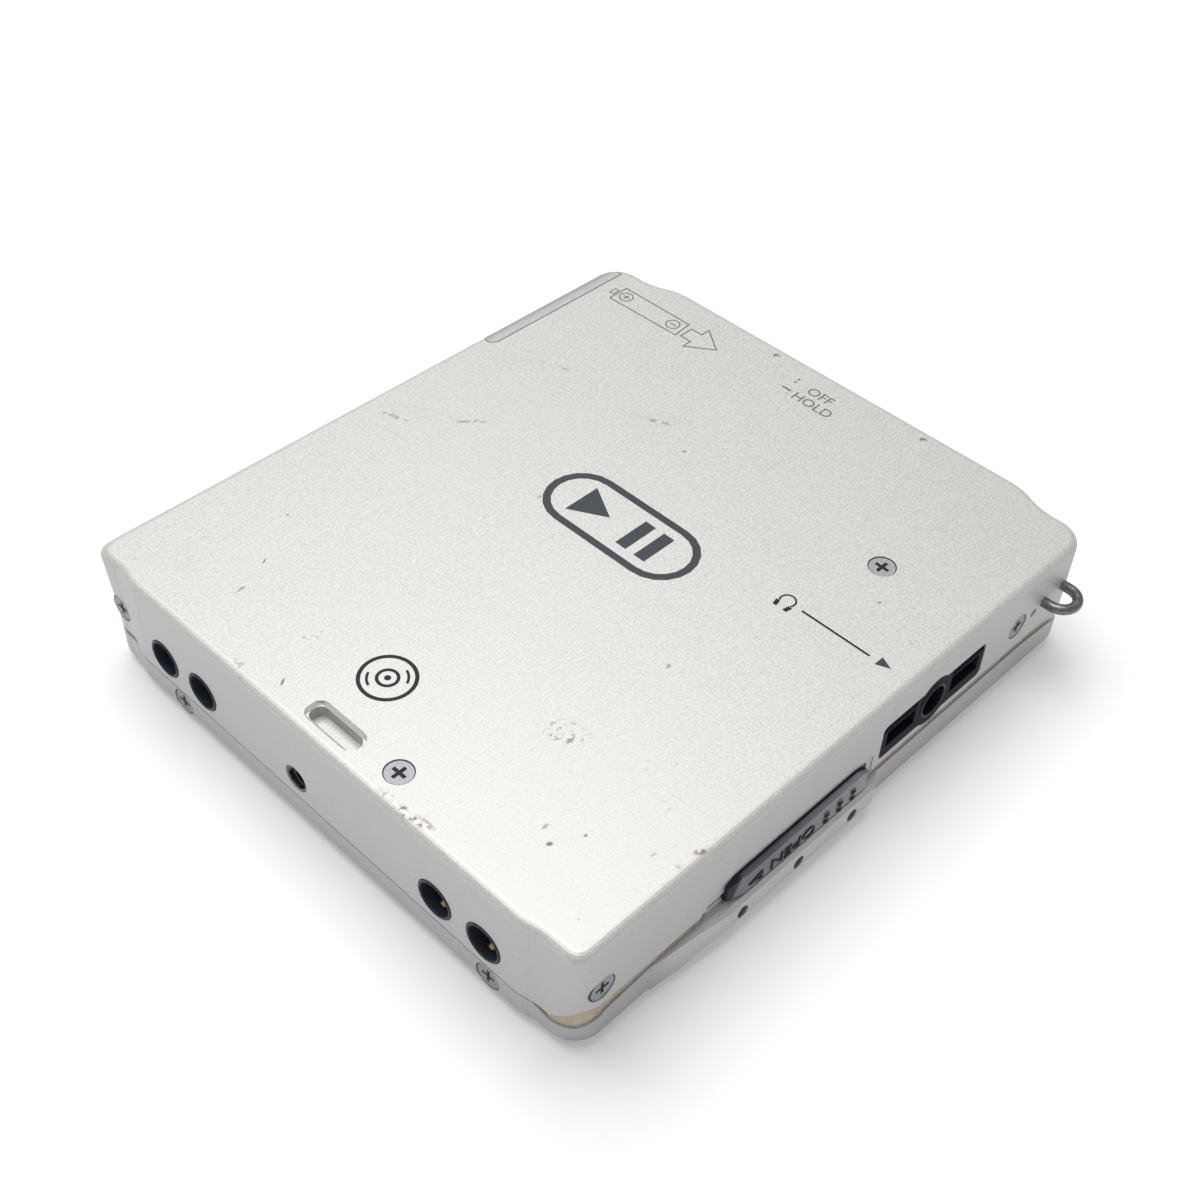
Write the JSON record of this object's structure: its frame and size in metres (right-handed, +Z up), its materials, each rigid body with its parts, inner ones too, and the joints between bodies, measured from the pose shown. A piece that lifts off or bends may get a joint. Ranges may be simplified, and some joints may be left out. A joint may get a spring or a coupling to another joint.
{
  "type": "portable minidisc player",
  "caption": "Flat pocket minidisc player lying on its lid, with a swing-open cartridge bay, stick cell door, front slider, headphone socket, strap loop and side keys.",
  "frame": {"origin": "middle of the lid's outer face, which the player lies on in the picture", "axes": "+Z up through the closed player towards its bottom face, -Y towards the front with the headphone socket, +X towards the swollen side with the keys"},
  "size_m": [0.0815, 0.0754, 0.0154],
  "materials": {
    "shell_paint": "satin silver paint with a fine metallic grain",
    "lid_paint": "satin silver paint",
    "door_paint": "satin silver paint, a little darker",
    "frame_tan": "glossy tan metal",
    "steel": "bright steel",
    "dark_wire": "dark bent wire",
    "deck_metal": "bare sheet metal",
    "black_plastic": "blue-black plastic",
    "insert_metal": "dark threaded metal",
    "gold": "gold plated spring metal",
    "board_green": "green circuit board",
    "chip_black": "moulded chip bodies",
    "cell_wrap": "plain wrapped stick cell",
    "white_plastic": "slippery white plastic",
    "dark_plastic": "dark moulded plastic",
    "lens_glass": "clear lens",
    "slider_slate": "slate grey plastic",
    "key_grey": "grey painted plastic"
  },
  "bodies": {
    "lid": {"lid_cover": "lid_paint", "lid_frame": "frame_tan", "lid_catch": "steel", "lid_screws": "steel"},
    "holder": {"cartridge_holder": "steel", "holder_springs": "gold"},
    "base": {"base_cover": "shell_paint", "hinge_pins": "steel", "bottom_screws": "steel", "side_screws": "steel", "mechanism_deck": "deck_metal", "main_board": "board_green", "board_chips": "chip_black", "jack_block": "black_plastic", "jack_contacts": "gold", "strap_loop": "dark_wire", "socket_cups": "black_plastic", "socket_contacts": "gold", "case_insert": "insert_metal", "battery_cell": "cell_wrap", "battery_contact": "gold", "spindle_motor": "deck_metal", "guide_rods": "steel", "sled_motor": "deck_metal", "key_board": "board_green", "latch_spring": "gold", "door_pin": "steel"},
    "spindle": {"turntable": "white_plastic"},
    "sled": {"optical_pickup": "dark_plastic"},
    "lens": {"objective_lens": "lens_glass"},
    "feed_screw": {"lead_screw": "steel", "sled_gear": "white_plastic"},
    "feed_pinion": {"motor_pinion": "white_plastic"},
    "slider": {"open_slider": "slider_slate", "latch_plate": "steel"},
    "door": {"battery_door": "door_paint", "door_contact": "gold"},
    "hold": {"hold_knob": "key_grey"},
    "play": {"key_play": "key_grey"},
    "stop": {"key_stop": "key_grey"},
    "skip_back": {"key_skip_back": "key_grey"},
    "skip_forward": {"key_skip_forward": "key_grey"}
  },
  "joints": [
    {"name": "lid_hinge", "type": "hinge", "parent": "lid", "child": "base", "pos_m": [0, 0.03515, 0.00625], "axis": [-1, 0, 0], "range_deg": [0, 40]},
    {"name": "holder_hinge", "type": "hinge", "parent": "lid", "child": "holder", "pos_m": [0, 0.033, 0.0061], "axis": [-1, 0, 0], "range_deg": [0, 12.1]},
    {"name": "turntable_spin", "type": "hinge", "parent": "base", "child": "spindle", "pos_m": [0, 0, 0.007], "axis": [0, 0, 1], "continuous": true},
    {"name": "pickup_slide", "type": "slide", "parent": "base", "child": "sled", "axis": [-1, 0, 0], "range_m": [0, 0.0125]},
    {"name": "lens_focus", "type": "slide", "parent": "sled", "child": "lens", "axis": [0, 0, 1], "range_m": [-0.0003, 0.0003], "stiffness_N_per_m": 40},
    {"name": "feed_screw_turn", "type": "hinge", "parent": "base", "child": "feed_screw", "pos_m": [-0.02, -0.015, 0.01005], "axis": [1, 0, 0], "range_deg": [0, 3001]},
    {"name": "feed_pinion_turn", "type": "hinge", "parent": "base", "child": "feed_pinion", "pos_m": [-0.003, -0.01781, 0.01005], "axis": [1, 0, 0], "range_deg": [-5252, 0]},
    {"name": "slider_slide", "type": "slide", "parent": "base", "child": "slider", "axis": [-1, 0, 0], "range_m": [0, 0.0025], "stiffness_N_per_m": 300, "springref_m": -0.001, "deforming": ["latch_spring"]},
    {"name": "door_hinge", "type": "hinge", "parent": "base", "child": "door", "pos_m": [0.0166, 0.0349, 0.011], "axis": [0, 0, 1], "range_deg": [0, 90]},
    {"name": "hold_slide", "type": "slide", "parent": "base", "child": "hold", "axis": [0, -1, 0], "range_m": [0, 0.0024]},
    {"name": "key_play_press", "type": "slide", "parent": "base", "child": "play", "axis": [-1, 0, 0], "range_m": [0, 0.0004], "stiffness_N_per_m": 400},
    {"name": "key_stop_press", "type": "slide", "parent": "base", "child": "stop", "axis": [-1, 0, 0], "range_m": [0, 0.0004], "stiffness_N_per_m": 400},
    {"name": "key_skip_back_press", "type": "slide", "parent": "base", "child": "skip_back", "axis": [-1, 0, 0], "range_m": [0, 0.0004], "stiffness_N_per_m": 400},
    {"name": "key_skip_forward_press", "type": "slide", "parent": "base", "child": "skip_forward", "axis": [-1, 0, 0], "range_m": [0, 0.0004], "stiffness_N_per_m": 400}
  ],
  "couplings": [
    {"joint": "holder_hinge", "follows": "lid_hinge", "ratio": 0.3},
    {"joint": "feed_screw_turn", "follows": "pickup_slide", "rad_per_m": 4188.8},
    {"joint": "feed_pinion_turn", "follows": "pickup_slide", "rad_per_m": -7330.4}
  ]
}
